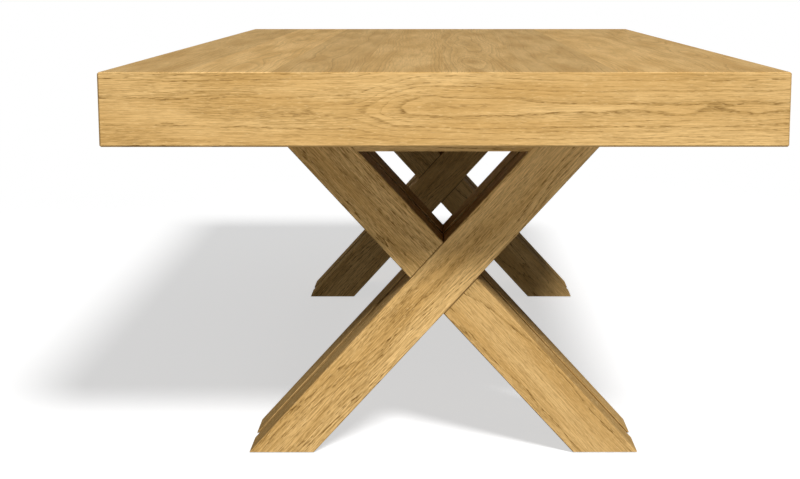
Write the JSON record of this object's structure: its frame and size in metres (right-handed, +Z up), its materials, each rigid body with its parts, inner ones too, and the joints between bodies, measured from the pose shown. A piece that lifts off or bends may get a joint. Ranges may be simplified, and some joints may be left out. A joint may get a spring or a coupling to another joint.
{
  "type": "sawbuck dining table",
  "caption": "Rectangular dining table: thick top with a deep mitred edge on two X-shaped frames, each of paired half-lapped crosses of square oak legs.",
  "frame": {"origin": "on the floor under the middle of the table", "axes": "+Z up, +Y along the table's length away from its front end, +X across the table to the right as seen from the front end"},
  "size_m": [1.2, 2.2, 0.775],
  "materials": {
    "oak_top": "oiled oak, matt",
    "oak_frame": "oiled oak, matt",
    "oak_inner": "planed oak, bare",
    "beech": "turned or planed beech, bare",
    "zinc_steel": "zinc-plated",
    "felt": "pressed brown felt"
  },
  "bodies": {
    "root": {"bearer_dowels": "beech", "board_screws": "zinc_steel", "board_tongue_1": "beech", "board_tongue_2": "beech", "board_tongue_3": "beech", "board_tongue_4": "beech", "board_tongue_5": "beech", "board_tongue_6": "beech", "board_tongue_7": "beech", "bolt_washers": "zinc_steel", "foot_glides": "felt", "frame_bolts": "zinc_steel", "front_apron": "oak_top", "front_batten": "oak_inner", "front_inner_bearer": "oak_inner", "front_inner_left_leg": "oak_frame", "front_inner_right_leg": "oak_frame", "front_left_corner_block": "oak_inner", "front_left_spacer": "oak_frame", "front_outer_bearer": "oak_inner", "front_outer_left_leg": "oak_frame", "front_outer_right_leg": "oak_frame", "front_right_corner_block": "oak_inner", "front_right_spacer": "oak_frame", "front_top_rail": "oak_frame", "layer_dowels": "beech", "left_apron": "oak_top", "leg_dowels": "beech", "middle_bearer": "oak_inner", "rail_dowels": "beech", "rear_apron": "oak_top", "rear_batten": "oak_inner", "rear_inner_bearer": "oak_inner", "rear_inner_left_leg": "oak_frame", "rear_inner_right_leg": "oak_frame", "rear_left_corner_block": "oak_inner", "rear_left_spacer": "oak_frame", "rear_outer_bearer": "oak_inner", "rear_outer_left_leg": "oak_frame", "rear_outer_right_leg": "oak_frame", "rear_right_corner_block": "oak_inner", "rear_right_spacer": "oak_frame", "rear_top_rail": "oak_frame", "right_apron": "oak_top", "threaded_inserts": "zinc_steel", "top_board_1": "oak_top", "top_board_2": "oak_top", "top_board_3": "oak_top", "top_board_4": "oak_top", "top_board_5": "oak_top", "top_board_6": "oak_top", "top_board_7": "oak_top", "top_board_8": "oak_top"}
  },
  "joints": []
}
